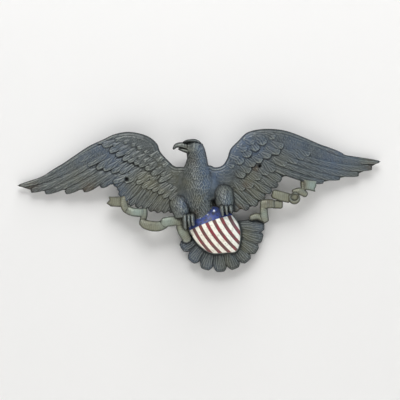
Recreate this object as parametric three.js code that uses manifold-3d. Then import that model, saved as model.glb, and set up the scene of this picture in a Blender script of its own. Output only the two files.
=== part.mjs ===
// Eagle wall plaque: one painted metal casting in high relief.
// An eagle with spread wings grips a folded ribbon and a striped shield in front of its fanned tail.
// Frame: millimetres, X to the viewer's right, Z up, the wall is the plane Y = 0 and the front faces -Y.
// "Depth" below is the distance out from the wall, so a point of depth d has Y = -d.
// Plan points are [x, z] on the wall plane.

import * as THREE from "three";
import { mergeVertices } from "three/addons/utils/BufferGeometryUtils.js";
import Module from "manifold-3d";

const wasm = await Module();
wasm.setup();

// Driving depths
const WRIST_DEPTH = 44; // front of the wing at its wrist, where it stands furthest from the wall
const ROOT_DIP = 3; // how much lower the wing lies beside the body
const TIP_DEPTH = 13; // front of the wing at its last feather tip
const CHORD_FALL = 0.1; // how much the wing falls back towards its trailing edge, per mm
const WRIST_REACH = 130; // distance of the wrist from the middle of the plaque, along X
const WEB_THICKNESS = 5;

// Driving sizes of the feathers
const FEATHER_CROWN = 1.8;
const FEATHER_TILT = 1.1; // the lower side of a feather stands this much proud of its middle
const ROW_STEP = 1.7; // each row of coverts lies this much over the row below it
const QUILL_THICKNESS = 5; // of the long flight feathers
const COVERT_THICKNESS = 3.4;

// Driving sizes of the tail fan
const TAIL_CENTRE = [11, -76];
const TAIL_RADIUS = 97;
const TAIL_LOBES = 9;
const TAIL_PITCH = 15.5; // angle from one lobe to the next, in degrees
const TAIL_OPENING = 0.39; // how fast that angle grows, in degrees per lobe squared
const TAIL_HALF_WIDTH = 15.5;
const TAIL_ROOT_DEPTH = 26;
const TAIL_TIP_DEPTH = 17;
const TAIL_CROWN = 3;
const TAIL_BACK = 4;

// Driving sizes of the shield and the ribbon
const SHIELD_BACK = 14;
const SHIELD_EDGE_DEPTH = 36;
const SHIELD_DOME = 24;
const RIBBON_THICKNESS = 6;
const CURL_CENTRE = [170, -18];
const CURL_RADIUS = 12.2;

// Flat core behind the trunk and the tail, which rests on the wall
const PAD_DEPTH = 20;

// Driving sizes of the two fixing holes
const HOLE_DIAMETER = 5.5;
const SINK_DIAMETER = 10;
const SINK_DEPTH = 3;
const BOSS_DIAMETER = 15;
const BOSS_COVER = 2; // metal left in front of the boss, below the wing's face
const FIXING_HOLES = [
  [-181, 22],
  [97, 50],
];

// Fineness of the faceted solids
const PIN_SIDES = 10;
const RIM_SAMPLES = 24;
const TOLERANCE = 0.06; // how far a join may move a corner, so that no slivers are left
const STAGGER = 0.1; // offset between hidden faces of like pieces, so that no two fall together

// Small helpers
const lerp = THREE.MathUtils.lerp;
const clamp = THREE.MathUtils.clamp;
const curve = (points) => new THREE.SplineCurve(points.map(([x, z]) => new THREE.Vector2(x, z)));
const place = (x, z, depth) => new THREE.Vector3(x, -depth, z);

// A number that runs through a list of values as t goes from 0 to 1.
function ramp(values) {
  const last = values.length - 1;
  return (t) => {
    const at = clamp(t, 0, 1) * last;
    const i = Math.min(Math.floor(at), last - 1);
    return lerp(values[i], values[i + 1], at - i);
  };
}

// Solid from a closed geometry
function solidOf(geometry) {
  geometry.deleteAttribute("normal");
  geometry.deleteAttribute("uv");
  const merged = mergeVertices(geometry, 1e-3);
  return new wasm.Manifold(
    new wasm.Mesh({
      numProp: 3,
      tolerance: TOLERANCE,
      vertProperties: merged.attributes.position.array,
      triVerts: new Uint32Array(merged.index.array),
    }),
  );
}

// Solid from an indexed list of corners.
function solidFrom(points, faces) {
  const geometry = new THREE.BufferGeometry().setFromPoints(points);
  geometry.setIndex(faces.flat());
  return solidOf(geometry);
}

// Solid skinned over rings that run clockwise as seen along the loft, with flat ends.
function loft(rings) {
  const size = rings[0].length;
  const points = rings.flat();
  const faces = [];
  for (let i = 0; i + 1 < rings.length; i += 1) {
    for (let j = 0; j < size; j += 1) {
      const a = i * size + j;
      const b = i * size + ((j + 1) % size);
      faces.push([a, b, a + size], [b, b + size, a + size]);
    }
  }
  const end = (rings.length - 1) * size;
  for (let j = 1; j + 1 < size; j += 1) {
    faces.push([0, j + 1, j], [end, end + j, end + j + 1]);
  }
  return solidFrom(points, faces);
}

// Cross-sections of a strip: [across, height], across from +1 to -1 and height from 0 at the edges to 1.
const ROOF = [
  [1, 0],
  [0.1, 1],
  [-1, 0],
];
const FLAT = [
  [1, 0],
  [-1, 0],
];
const round = (steps) =>
  Array.from({ length: steps + 1 }, (_, k) => {
    const angle = (Math.PI * k) / steps;
    return [Math.cos(angle), Math.sin(angle)];
  });

// Strip along a plan curve. Half-width, tilt, and back, edge and crest depths are functions of t.
function strip({ spine, stations, half, back, edge, crest, tilt = () => 0, section = ROOF }) {
  const rings = stations.map((t) => {
    const p = spine.getPoint(t);
    const along = spine.getTangent(t);
    const side = new THREE.Vector2(-along.y, along.x).multiplyScalar(half(t));
    const corner = (s, depth) => place(p.x + side.x * s, p.y + side.y * s, depth);
    const low = back(t, p);
    const front = section.map(([s, h]) => {
      const depth = lerp(edge(t, p), crest(t, p), h) + tilt(t) * s;
      return corner(s, depth);
    });
    return [corner(-1, low), corner(1, low), ...front];
  });
  return loft(rings);
}

const evenly = (count) => Array.from({ length: count }, (_, i) => i / (count - 1));

// Rounded limb: a strip with a half-elliptical front, given by lists of values along it.
function limb({ spine, half, crest, back, edge, steps = 6, stations = 6 }) {
  return strip({
    spine: curve(spine),
    stations: evenly(stations),
    half: ramp(half),
    crest: ramp(crest),
    back: ramp(back),
    edge: ramp(edge),
    section: round(steps),
  });
}

// Cushion over a closed plan outline: a flat back, and a front that swells from the edge to the middle.
function cushion({ outline, edge, dome, back, rings = [1, 0.94, 0.8, 0.55, 0.28] }) {
  const samples = RIM_SAMPLES;
  const shape = curve([...outline, outline[0]]);
  const rim = Array.from({ length: samples }, (_, i) => shape.getPoint(i / samples));
  const middle = rim.reduce((sum, p) => sum.add(p), new THREE.Vector2()).divideScalar(samples);
  const points = [];
  const faces = [];
  const ringOf = (scale, depth) =>
    rim.forEach((p) => {
      const q = middle.clone().lerp(p, scale);
      points.push(place(q.x, q.y, depth));
    });
  ringOf(1, back);
  rings.forEach((scale) => ringOf(scale, edge + dome * (1 - scale ** 2) ** 0.6));
  points.push(place(middle.x, middle.y, back), place(middle.x, middle.y, edge + dome));
  const backCentre = points.length - 2;
  const top = rings.length * samples;
  for (let i = 0; i < samples; i += 1) {
    const j = (i + 1) % samples;
    faces.push([backCentre, j, i], [backCentre + 1, top + i, top + j]);
    for (let ring = 0; ring < rings.length; ring += 1) {
      const a = ring * samples;
      faces.push([a + i, a + j, a + samples + i], [a + j, a + samples + j, a + samples + i]);
    }
  }
  return solidFrom(points, faces);
}

// Flat plate with a straight-sided outline, between two depths.
function plate(outline, back, front) {
  const shape = new THREE.Shape(outline.map(([x, z]) => new THREE.Vector2(x, z)));
  const geometry = new THREE.ExtrudeGeometry(shape, { depth: front - back, bevelEnabled: false });
  return solidOf(geometry.rotateX(Math.PI / 2).translate(0, -back, 0));
}

// Straight pin out from the wall, used for the bosses and to drill the holes.
function pin([x, z], radiusNear, radiusFar, from, to) {
  const geometry = new THREE.CylinderGeometry(radiusNear, radiusFar, to - from, PIN_SIDES);
  return solidOf(geometry.translate(x, -(from + to) / 2, z));
}

// Wings. Each has a leading and a trailing line with matching points from the body outwards.
const LEFT = {
  side: 1,
  span: 410,
  lead: [
    [-36, 47], [-66, 48], [-80, 49], [-93, 60], [-110, 79], [-117, 96], [-133, 110], [-155, 118],
    [-180, 121], [-207, 116], [-229, 106], [-260, 92], [-292, 71.5], [-324, 50], [-354, 32], [-379, 21],
    [-405, 12],
  ],
  trail: [
    [-36, -34], [-61, -34], [-87, -39], [-108, -43], [-127, -41], [-144, -33], [-163, -28], [-182, -12],
    [-199, 5], [-218, 19], [-239, 12], [-265, 2.5], [-294, -1], [-324, 0], [-356, -2], [-379, -1],
    [-403, 6],
  ],
  // Flight feathers of the hand, from the leading edge back: tip, root, half-width and bow.
  primaries: [
    { tip: [-356, 27], root: [-250, 88], half: 4.5, bow: 0 },
    { tip: [-409, 9], root: [-256, 70], half: 6, bow: 8 },
    { tip: [-384, -3], root: [-248, 62], half: 8.5, bow: 4 },
    { tip: [-354, -6], root: [-239, 49], half: 9, bow: 2 },
    { tip: [-311, -6], root: [-222, 42], half: 9, bow: 0 },
    { tip: [-273, -2], root: [-205, 40], half: 9, bow: 0 },
    { tip: [-237, 7], root: [-197, 33], half: 8.5, bow: 0 },
    { tip: [-219, 14], root: [-190, 36], half: 8, bow: 0 },
  ],
  // Rows of feathers: a line of tips and a line of roots, from the hand towards the body.
  secondaries: {
    count: 10,
    half: [9, 10.5],
    tips: [
      [-208, 9], [-198, -4], [-195, -17], [-180, -30], [-163, -36], [-146, -39], [-129, -46], [-112, -47],
      [-95, -47],
    ],
    roots: [
      [-180, 40], [-165, 32], [-157, 24], [-148, 18], [-138, 14], [-127, 8], [-116, 4], [-106, 2], [-94, 2],
    ],
  },
  coverts: [
    {
      count: 8,
      half: [8, 9],
      tips: [[-282, 60], [-258, 51], [-240, 42], [-222, 40], [-203, 36], [-180, 32], [-163, 26], [-133, 23]],
      roots: [[-236, 90], [-212, 80], [-200, 74], [-186, 61], [-178, 53], [-159, 48], [-142, 39], [-112, 36]],
    },
    {
      count: 7,
      half: [9, 8.5],
      tips: [[-207, 16], [-180, 18], [-155, 11], [-146, 4], [-131, 0], [-119, -7], [-106, -13]],
      roots: [[-176, 32], [-155, 33], [-129, 25], [-119, 21], [-110, 17], [-102, 13], [-95, 8]],
    },
    {
      count: 8,
      half: [9, 9.5],
      tips: [[-231, 91], [-211, 78], [-195, 66], [-178, 59], [-163, 53], [-148, 46], [-133, 36], [-116, 21]],
      roots: [[-206, 103], [-187, 90], [-174, 80], [-159, 72], [-146, 65], [-133, 59], [-119, 51], [-99, 38]],
    },
  ],
};

const RIGHT = {
  side: -1,
  span: 354,
  lead: [
    [-36, 51], [-7, 51], [4, 47], [19, 51], [29, 65], [36, 85], [52, 102], [70, 119], [95, 126],
    [123, 127], [152, 123], [184, 112], [227, 94], [269, 77], [311, 64], [346, 61],
  ],
  trail: [
    [-28, -34], [2, -34], [23, -36], [47, -39], [68, -36], [87, -29], [102, -16], [116, 0], [131, 16],
    [148, 28], [167, 26], [193, 20], [224, 16], [265, 25], [305, 34], [339, 52],
  ],
  primaries: [
    { tip: [273, 74], root: [142, 115], half: 5.5, bow: 0 },
    { tip: [350, 59], root: [138, 104], half: 7, bow: 9 },
    { tip: [335, 45.5], root: [125, 93], half: 9.5, bow: 9 },
    { tip: [307, 32], root: [121, 80], half: 9.5, bow: 6 },
    { tip: [267, 24], root: [116, 68], half: 9.5, bow: 4 },
    { tip: [232, 17], root: [112, 55], half: 9.5, bow: 4 },
  ],
  secondaries: {
    count: 6,
    half: [10, 10.5],
    tips: [[142, 19], [133, 4], [116, -11], [99, -28], [78, -40], [53, -44]],
    roots: [[94, 44], [80, 30], [66, 20], [56, 12], [48, 6], [38, 0]],
  },
  coverts: [
    {
      count: 9,
      half: [10.5, 10.5],
      tips: [
        [201, 72], [189, 66], [175, 58], [152, 53], [129, 40], [116, 35], [101, 23], [84, 8], [64, 0],
      ],
      roots: [
        [160, 99], [150, 93], [135, 83], [123, 70], [102, 64], [91, 53], [76, 40], [55, 26], [41, 21],
      ],
    },
    {
      count: 7,
      half: [10.5, 10],
      tips: [[145, 90], [139, 79], [121, 69], [103, 60], [87, 50], [76, 37], [64, 28]],
      roots: [[112, 107], [106, 95], [93, 83], [79, 72], [66, 68], [54, 57], [42, 47]],
    },
    {
      count: 4,
      half: [10, 10],
      tips: [[108, 95], [93, 84], [78, 70], [60, 55]],
      roots: [[92, 113], [80, 99], [62, 85], [46, 72]],
    },
  ],
};

// Height of the leading line above a point, for the fall of the wing behind it.
function chordAt(wing, x, z) {
  const lead = wing.lead;
  const along = Math.abs(x);
  for (let i = 1; i < lead.length; i += 1) {
    const near = Math.abs(lead[i - 1][0]);
    const far = Math.abs(lead[i][0]);
    if (along <= far && far > near) {
      const t = clamp((along - near) / (far - near), 0, 1);
      return Math.max(0, lerp(lead[i - 1][1], lead[i][1], t) - z);
    }
  }
  return Math.max(0, lead[lead.length - 1][1] - z);
}

// Depth of the wing's front surface under its feathers.
function wingDepth(wing, x, z) {
  const along = Math.abs(x);
  const outer = clamp((along - WRIST_REACH) / (wing.span - WRIST_REACH), 0, 1);
  const inner = clamp(1 - along / WRIST_REACH, 0, 1);
  const arch = TIP_DEPTH + (WRIST_DEPTH - TIP_DEPTH) * (1 + Math.cos(Math.PI * outer)) / 2;
  return arch - ROOT_DIP * inner ** 2 - CHORD_FALL * chordAt(wing, x, z);
}

// Thin curved sheet under the feathers, with a rolled leading edge.
function wingWeb(wing) {
  const front = [
    { at: 0, rise: -3 },
    { at: 0.06, rise: 1.8 },
    { at: 0.18, rise: 2.4 },
    { at: 0.5, rise: -0.6 },
    { at: 1, rise: -2.8 },
  ];
  const back = [1, 0.5, 0].map((at) => ({ at, rise: -1 - WEB_THICKNESS }));
  const rings = wing.lead.map(([leadX, leadZ], i) => {
    const [trailX, trailZ] = wing.trail[i];
    return [...front, ...back].map(({ at, rise }) => {
      const x = lerp(leadX, trailX, at);
      const z = lerp(leadZ, trailZ, at);
      return place(x, z, wingDepth(wing, x, z) + rise);
    });
  });
  return loft(wing.side > 0 ? rings.map((ring) => [...ring].reverse()) : rings);
}

// Outline of a feather: its share of the full half-width from root to tip, parallel and then rounded off.
const FEATHER_STATIONS = [0, 0.5, 0.84, 0.96, 1];
function featherWidth(t, shoulder = 0.7, rootShare = 0.82, bluntness = 0.88) {
  if (t < shoulder) return lerp(rootShare, 1, t / shoulder);
  return Math.sqrt(1 - bluntness * ((t - shoulder) / (1 - shoulder)) ** 2);
}

// One feather over the wing: root hidden under its neighbours, tip a little raised.
function wingFeather(wing, { root, tip, half, bow = 0 }, lift, under) {
  const a = new THREE.Vector2(...root);
  const b = new THREE.Vector2(...tip);
  const down = new THREE.Vector2(-(b.y - a.y), b.x - a.x).normalize().multiplyScalar(bow * 2 * wing.side);
  const middle = a.clone().lerp(b, 0.5).add(down);
  const ground = (p) => wingDepth(wing, p.x, p.y);
  const edge = (t, p) => ground(p) + lift * lerp(0.3, 1, t);
  return strip({
    spine: new THREE.QuadraticBezierCurve(a, middle, b),
    stations: FEATHER_STATIONS,
    half: (t) => half * featherWidth(t),
    back: (t, p) => ground(p) - under,
    edge,
    crest: (t, p) => edge(t, p) + FEATHER_CROWN * (t === 1 ? 0.3 : 1),
    tilt: () => FEATHER_TILT * wing.side,
  });
}

function featherRow(wing, { count, half, tips, roots }, lift, under) {
  const tipLine = curve(tips);
  const rootLine = curve(roots);
  return Array.from({ length: count }, (_, i) => {
    const t = i / (count - 1);
    const root = rootLine.getPoint(t).toArray();
    const tip = tipLine.getPoint(t).toArray();
    return wingFeather(wing, { root, tip, half: lerp(...half, t) }, lift, under);
  });
}

function wingSolids(wing) {
  const solids = [wingWeb(wing)];
  // The first primary lies highest, and each one behind it a little lower.
  wing.primaries.forEach((feather, i) => {
    solids.push(wingFeather(wing, feather, STAGGER * (2 - i), QUILL_THICKNESS + STAGGER * i));
  });
  solids.push(...featherRow(wing, wing.secondaries, 3 * STAGGER, QUILL_THICKNESS - 4 * STAGGER));
  wing.coverts.forEach((row, i) => {
    solids.push(...featherRow(wing, row, ROW_STEP * (i + 1), COVERT_THICKNESS + 2.5 * STAGGER * i));
  });
  return solids;
}

// Tail fan: nine round-ended feathers spread from behind the shield.
function tailSolids() {
  const [cx, cz] = TAIL_CENTRE;
  return Array.from({ length: TAIL_LOBES }, (_, i) => {
    const angle = -THREE.MathUtils.degToRad(TAIL_PITCH * i + TAIL_OPENING * i * i);
    const reach = TAIL_RADIUS - 6 * (i / (TAIL_LOBES - 1)) ** 6;
    const tip = [cx + reach * Math.cos(angle), cz + reach * Math.sin(angle)];
    const slope = (t) => lerp(TAIL_ROOT_DEPTH, TAIL_TIP_DEPTH, t);
    return strip({
      spine: new THREE.LineCurve(new THREE.Vector2(cx, cz), new THREE.Vector2(...tip)),
      stations: [0.3, 0.8, 0.92, 0.98, 1],
      half: (t) => TAIL_HALF_WIDTH * featherWidth(t, 0.8, 1 / 3, 0.8),
      back: () => TAIL_BACK + (i % 2),
      edge: (t) => slope(t) - 1,
      crest: (t) => slope(t) + (t === 1 ? 0 : TAIL_CROWN),
      tilt: () => -FEATHER_TILT,
    });
  });
}

// Body, neck, head and legs
function bodySolids() {
  const trunk = limb({
    spine: [
      [-38, 97], [-37, 84], [-34, 68], [-34, 55], [-35, 38], [-34, 21], [-32, 0], [-30, -28], [-11, -74],
    ],
    half: [15, 19.5, 20.5, 23.5, 29, 32, 33, 32, 29],
    crest: [54, 60, 56, 55, 58, 62, 65, 60, 40],
    edge: [36, 34, 32, 32, 33, 34, 34, 28, 20],
    back: [24, 22, 18, 14, 8, 3, 2, 2, 2],
    steps: 7,
    stations: 9,
  });
  const skull = limb({
    spine: [[-27, 86], [-40, 88], [-57, 90]],
    half: [14, 16.5, 10],
    crest: [58, 64, 57],
    edge: [34, 36, 38],
    back: [24, 25, 30],
    stations: 5,
  });
  const beak = limb({
    spine: [[-52, 90], [-67, 93], [-77, 92], [-82, 86], [-82.5, 83.5]],
    half: [8, 6, 4.5, 2.5, 0.8],
    crest: [57, 55, 52, 49, 46],
    edge: [42, 42, 42, 42, 42],
    back: [32, 34, 36, 38, 39],
    stations: 7,
    steps: 4,
  });
  const jaw = limb({
    spine: [[-50, 80], [-64, 83.5], [-73, 85.5]],
    half: [5.5, 3.6, 1.6],
    crest: [54, 51, 46],
    edge: [42, 41, 41],
    back: [32, 34, 36],
    stations: 4,
    steps: 4,
  });
  const brow = limb({
    spine: [[-65, 97.5], [-50, 101], [-33, 100], [-22, 92]],
    half: [2.2, 4, 4, 2.5],
    crest: [62, 69, 64, 54],
    edge: [50, 56, 52, 44],
    back: [40, 36, 34, 34],
    stations: 6,
    steps: 4,
  });
  const thighs = [
    limb({
      spine: [[-75, -10], [-71, -26], [-66, -44], [-63, -58]],
      half: [16, 21, 19.5, 16],
      crest: [50, 66, 64, 60],
      edge: [34, 34, 32, 32],
      back: [20, 12, 12, 14],
      steps: 7,
    }),
    limb({
      spine: [[18, 12], [21, -6], [24, -26], [28, -46]],
      half: [14, 20, 19, 13],
      crest: [48, 66, 64, 60],
      edge: [34, 34, 32, 32],
      back: [20, 12, 12, 14],
      steps: 7,
    }),
  ];
  return [trunk, skull, beak, jaw, brow, ...thighs, ...toes()];
}

// Each foot has three toes that bend over the shield's top corner, with a claw at the end.
function toes() {
  const feet = [
    { x: -59, z: -50, spread: 7.5, lean: 1.5, reach: 31 },
    { x: 17, z: -32, spread: 9, lean: 2.5, reach: 23 },
  ];
  return feet.flatMap(({ x, z, spread, lean, reach }) =>
    [0, 1, 2].map((toe) => {
      const top = [x + spread * toe, z];
      const end = [top[0] + lean + toe, z - reach + 3 * toe];
      return limb({
        spine: [top, [top[0] + lean / 2, z - reach * 0.45], end],
        half: [4.2, 4.6, 2],
        crest: [66, 71, 60],
        edge: [54, 54, 50],
        back: [40, 38, 36],
        steps: 4,
        stations: 4,
      });
    }),
  );
}

// Shield: swollen face over the tail
function shieldSolid() {
  return cushion({
    outline: [
      [-50, -68], [-50, -85], [-36, -109], [-17, -126], [0, -133], [25, -132], [49, -128], [57, -104],
      [55, -76], [39, -50], [19, -38], [0, -34], [-17, -36], [-36, -51],
    ],
    edge: SHIELD_EDGE_DEPTH,
    dome: SHIELD_DOME,
    back: SHIELD_BACK,
  });
}

// Ribbon: folded bands, each given by its spine, half-widths and front depths
const RIBBON_BANDS = [
  // The eagle's right: the hanging end, its fold, the broad swag and the two bands behind the leg
  {
    spine: [[-185, -12], [-186, -30], [-181, -41], [-171, -47], [-148, -49]],
    half: [7, 7.5, 8.5, 9, 9],
    front: [26, 27, 29, 31, 31],
  },
  { spine: [[-145, -38], [-145, -53], [-149, -69]], half: [7, 7, 6], front: [29, 27, 26] },
  {
    spine: [[-153, -64], [-142, -72], [-125, -76], [-110, -75], [-95, -66]],
    half: [6, 10, 11, 10.5, 9],
    front: [29, 31, 33, 32, 29],
  },
  { spine: [[-109, -68], [-91, -66], [-57, -62]], half: [9, 10.5, 9], front: [32, 36, 38] },
  { spine: [[-66, -66], [-63, -86], [-51, -106]], half: [13, 12, 9], front: [33, 34, 30] },
  // The eagle's left: from the tail up to the curl and the far end
  { spine: [[76, -60], [91, -55], [104, -59], [112, -68]], half: [5.5, 7, 7.5, 5], front: [27, 27, 26, 24] },
  { spine: [[107, -20], [107, -47], [110, -66]], half: [8, 8.5, 6], front: [27, 31, 29] },
  { spine: [[100, -30], [112, -29], [127, -29]], half: [8, 9.5, 9], front: [30, 33, 33] },
  { spine: [[122, -30], [144, -30]], half: [8.8, 8.6], front: [28, 28] },
  { spine: [[122, -8], [142, -13], [162, -18]], half: [9.5, 10.5, 10.5], front: [30, 31, 30] },
  { spine: [[165, -5], [182, -4], [195, -11]], half: [6.5, 7.5, 5], front: [29, 30, 29] },
  { spine: [[188, 20], [189, -2]], half: [5, 5], front: [27, 28] },
];

// Cut ends of the ribbon
const RIBBON_ENDS = [
  { outline: [[-190, -14], [-219, -14], [-217, -21], [-224, -28], [-214, -35], [-190, -36]], front: 28 },
  { outline: [[190, 22], [216, 18], [216, 8], [213, 2], [214, -4], [202, -1], [190, 0]], front: 31 },
];

function ribbonSolids() {
  const bands = RIBBON_BANDS.map(({ spine, half, front }, i) =>
    strip({
      spine: curve(spine),
      stations: evenly(spine.length > 2 ? spine.length + 1 : 2),
      half: ramp(half),
      back: (t) => ramp(front)(t) - RIBBON_THICKNESS - STAGGER * i,
      edge: ramp(front),
      crest: ramp(front),
      section: FLAT,
    }),
  );
  const ends = RIBBON_ENDS.map(({ outline, front }) => plate(outline, front - RIBBON_THICKNESS, front));
  // The rolled curl stands on edge, so its end shows as a disc with a hollow in it.
  const roll = pin(CURL_CENTRE, CURL_RADIUS, CURL_RADIUS - 1, 20, 35);
  const hollow = pin(CURL_CENTRE, CURL_RADIUS - 6, CURL_RADIUS - 4, 32, 40);
  return [...bands, ...ends, roll.subtract(hollow)];
}

// Flat-backed core that rests on the wall, behind the trunk and the tail.
const BACK_PAD = [
  [-58, 20], [-40, 34], [-20, 36], [0, 30], [24, 16], [40, -20], [46, -70], [40, -110], [10, -128],
  [-20, -120], [-44, -96], [-60, -50],
];

const parts = [
  plate(BACK_PAD, 0, PAD_DEPTH),
  ...bodySolids(),
  ...wingSolids(LEFT),
  ...wingSolids(RIGHT),
  ...tailSolids(),
  shieldSolid(),
  ...ribbonSolids(),
];

let plaque = parts.reduce((whole, solid) => whole.add(solid));
for (const hole of FIXING_HOLES) {
  const wing = hole[0] < 0 ? LEFT : RIGHT;
  const face = wingDepth(wing, ...hole) + ROW_STEP;
  const clear = face + SINK_DIAMETER;
  // The countersink widens by its own radius over its depth, and runs on past the feathers.
  const flare = (SINK_DIAMETER - HOLE_DIAMETER) / 2 / SINK_DEPTH;
  const mouth = HOLE_DIAMETER / 2 + flare * (clear - face + SINK_DEPTH);
  plaque = plaque.add(pin(hole, BOSS_DIAMETER / 2, BOSS_DIAMETER / 2 - 1, 0, face - BOSS_COVER));
  plaque = plaque.subtract(pin(hole, HOLE_DIAMETER / 2, HOLE_DIAMETER / 2, -BOSS_COVER, clear));
  plaque = plaque.subtract(pin(hole, HOLE_DIAMETER / 2, mouth, face - SINK_DEPTH, clear));
}

// Mesh of the finished solid
function meshOf(name, solid, material) {
  const made = solid.getMesh();
  const geometry = new THREE.BufferGeometry();
  geometry.setAttribute("position", new THREE.BufferAttribute(made.vertProperties, made.numProp));
  geometry.setIndex(new THREE.BufferAttribute(made.triVerts, 1));
  geometry.computeVertexNormals();
  const mesh = new THREE.Mesh(geometry, material);
  mesh.name = name;
  return mesh;
}

const PATINA = new THREE.MeshStandardMaterial({ color: 0x5a6062, roughness: 0.5, metalness: 0.6 });

const eagle = new THREE.Group();
eagle.add(meshOf("eagle_plaque", plaque, PATINA));

export default eagle;
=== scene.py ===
"""Eagle wall plaque: one painted metal casting in high relief.

The casting is worked out as two height fields over the wall plane, its front and its back, from the same named
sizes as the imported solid, and turned into one closed mesh. The form is in millimetres, the scene in metres.
"Depth" is the distance out from the wall, so a point of depth d has Y = -d. Plan points are (x, z).
"""

import math

import bpy
import numpy as np
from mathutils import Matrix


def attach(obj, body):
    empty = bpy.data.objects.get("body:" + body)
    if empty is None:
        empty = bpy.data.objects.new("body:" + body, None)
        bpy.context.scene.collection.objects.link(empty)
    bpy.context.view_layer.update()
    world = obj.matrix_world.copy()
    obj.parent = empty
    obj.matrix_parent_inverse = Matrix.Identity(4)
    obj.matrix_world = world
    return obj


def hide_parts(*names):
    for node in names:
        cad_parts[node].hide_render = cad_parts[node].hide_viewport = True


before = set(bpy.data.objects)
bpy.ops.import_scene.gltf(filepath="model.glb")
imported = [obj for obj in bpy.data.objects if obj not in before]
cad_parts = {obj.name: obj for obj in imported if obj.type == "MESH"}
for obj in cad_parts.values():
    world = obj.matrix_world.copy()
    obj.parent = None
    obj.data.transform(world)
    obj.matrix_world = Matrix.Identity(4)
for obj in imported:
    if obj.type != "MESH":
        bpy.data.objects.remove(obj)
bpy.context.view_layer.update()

MM = 0.001

# Grid of the height fields
STEP = 0.75
GRID_LOW = (-416.0, -180.0)
GRID_HIGH = (357.0, 134.0)
FACES = 186000  # triangles of the finished mesh

# Wing surface
WRIST_DEPTH = 44
ROOT_DIP = 3
TIP_DEPTH = 13
CHORD_FALL = 0.1
WRIST_REACH = 130
WEB_THICKNESS = 5
HEM = 2.5  # near the body, the sheet shows this much between the ends of the feathers

# Feathers of the wings
ROW_STEP = 1.7
QUILL_THICKNESS = 5
COVERT_THICKNESS = 3.4

# Barbs: height, spacing, slant to the shaft, height of the shaft
PRIMARY_BARBS = (0.34, 4.2, math.radians(14), 0.7)
INNER_BARBS = (0.55, 4.8, math.radians(6), 0.8)
COVERT_BARBS = (0.5, 4.6, math.radians(12), 0.7)
TAIL_BARBS = (0.5, 4.6, math.radians(8), 1.0)
COVERT_LIFTS = (2.4, 3.4, 4.2, 3.6, 3.0)

# Tail fan
TAIL_CENTRE = (11, -76)
TAIL_RADIUS = 97
TAIL_LOBES = 9
TAIL_PITCH = 15.5
TAIL_OPENING = 0.39
TAIL_HALF_WIDTH = 15.5
TAIL_ROOT_DEPTH = 26
TAIL_TIP_DEPTH = 17
TAIL_CROWN = 3
TAIL_BACK = 4

# Shield and ribbon
SHIELD_BACK = 14
SHIELD_EDGE_DEPTH = 36
SHIELD_DOME = 24
RIBBON_THICKNESS = 6
CURL_CENTRE = (170, -18)
CURL_RADIUS = 12.2

# Back pad and fixing holes
PAD_DEPTH = 20
HOLE_DIAMETER = 5.5
SINK_DIAMETER = 10
SINK_DEPTH = 3
BOSS_DIAMETER = 15
FIXING_HOLES = ((-181, 22), (97, 50))


def lerp(a, b, t):
    return a + (b - a) * t


def ramp(values):
    """A number that runs through a list of values as t goes from 0 to 1."""
    places = np.linspace(0, 1, len(values))
    return lambda t: np.interp(t, places, values)


def smoothstep(low, high, value):
    t = np.clip((value - low) / (high - low), 0, 1)
    return t * t * (3 - 2 * t)


def bump(distance, width):
    return np.exp(-((distance / width) ** 2))


class Spine:
    """A smooth curve through plan points, which gives any point its share along it and its offset from it."""

    def __init__(self, points, closed=False, samples=7):
        p = np.array(points, float)
        self.closed = closed
        if closed:
            p = np.vstack([p[-1], p, p[0], p[1]])
        else:
            p = np.vstack([p[0], p, p[-1]])
        line = []
        u = np.arange(samples)[:, None] / samples
        for a, b, c, d in zip(p, p[1:], p[2:], p[3:]):
            v0 = (c - a) * 0.5
            v1 = (d - b) * 0.5
            line.append((2 * b - 2 * c + v0 + v1) * u**3 + (3 * c - 3 * b - 2 * v0 - v1) * u**2 + v0 * u + b)
        self.line = np.vstack([*line, p[-2:-1] if not closed else p[1:2]])
        self.measure()

    def measure(self):
        self.legs = np.diff(self.line, axis=0)
        self.lengths = np.maximum(np.hypot(*self.legs.T), 1e-6)
        self.length = self.lengths.sum()
        self.mile = np.concatenate([[0], np.cumsum(self.lengths)])

    @classmethod
    def arc(cls, a, middle, b, samples=24):
        """Quadratic curve from a to b, pulled towards middle."""
        made = cls.__new__(cls)
        t = np.linspace(0, 1, samples + 1)[:, None]
        a, m, b = (np.array(p, float) for p in (a, middle, b))
        made.line = (1 - t) ** 2 * a + 2 * t * (1 - t) * m + t**2 * b
        made.closed = False
        made.measure()
        return made

    def at(self, t):
        place = np.linspace(0, 1, len(self.line))
        return np.array([np.interp(t, place, self.line[:, k]) for k in (0, 1)]).T

    def project(self, x, z):
        """(share along, offset to the left, length along, distance past the nearer end) of points."""
        n = len(self.legs)
        best = np.full(x.shape, 1e12)
        share, offset, along = (np.zeros(x.shape) for _ in range(3))
        for i, ((px, pz), (dx, dz), size) in enumerate(zip(self.line, self.legs, self.lengths)):
            w = np.clip(((x - px) * dx + (z - pz) * dz) / size**2, 0, 1)
            ex = x - px - w * dx
            ez = z - pz - w * dz
            gap = ex * ex + ez * ez
            closer = gap < best
            best = np.where(closer, gap, best)
            share = np.where(closer, (i + w) / n, share)
            along = np.where(closer, self.mile[i] + w * size, along)
            offset = np.where(closer, (dx * ez - dz * ex) / size, offset)
        first, last = self.legs[0] / self.lengths[0], self.legs[-1] / self.lengths[-1]
        before = -((x - self.line[0, 0]) * first[0] + (z - self.line[0, 1]) * first[1])
        after = (x - self.line[-1, 0]) * last[0] + (z - self.line[-1, 1]) * last[1]
        near_start = share < 0.5
        past = np.where(near_start, np.maximum(before, along * -1), np.maximum(after, along - self.length))
        return share, offset, along, past


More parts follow.
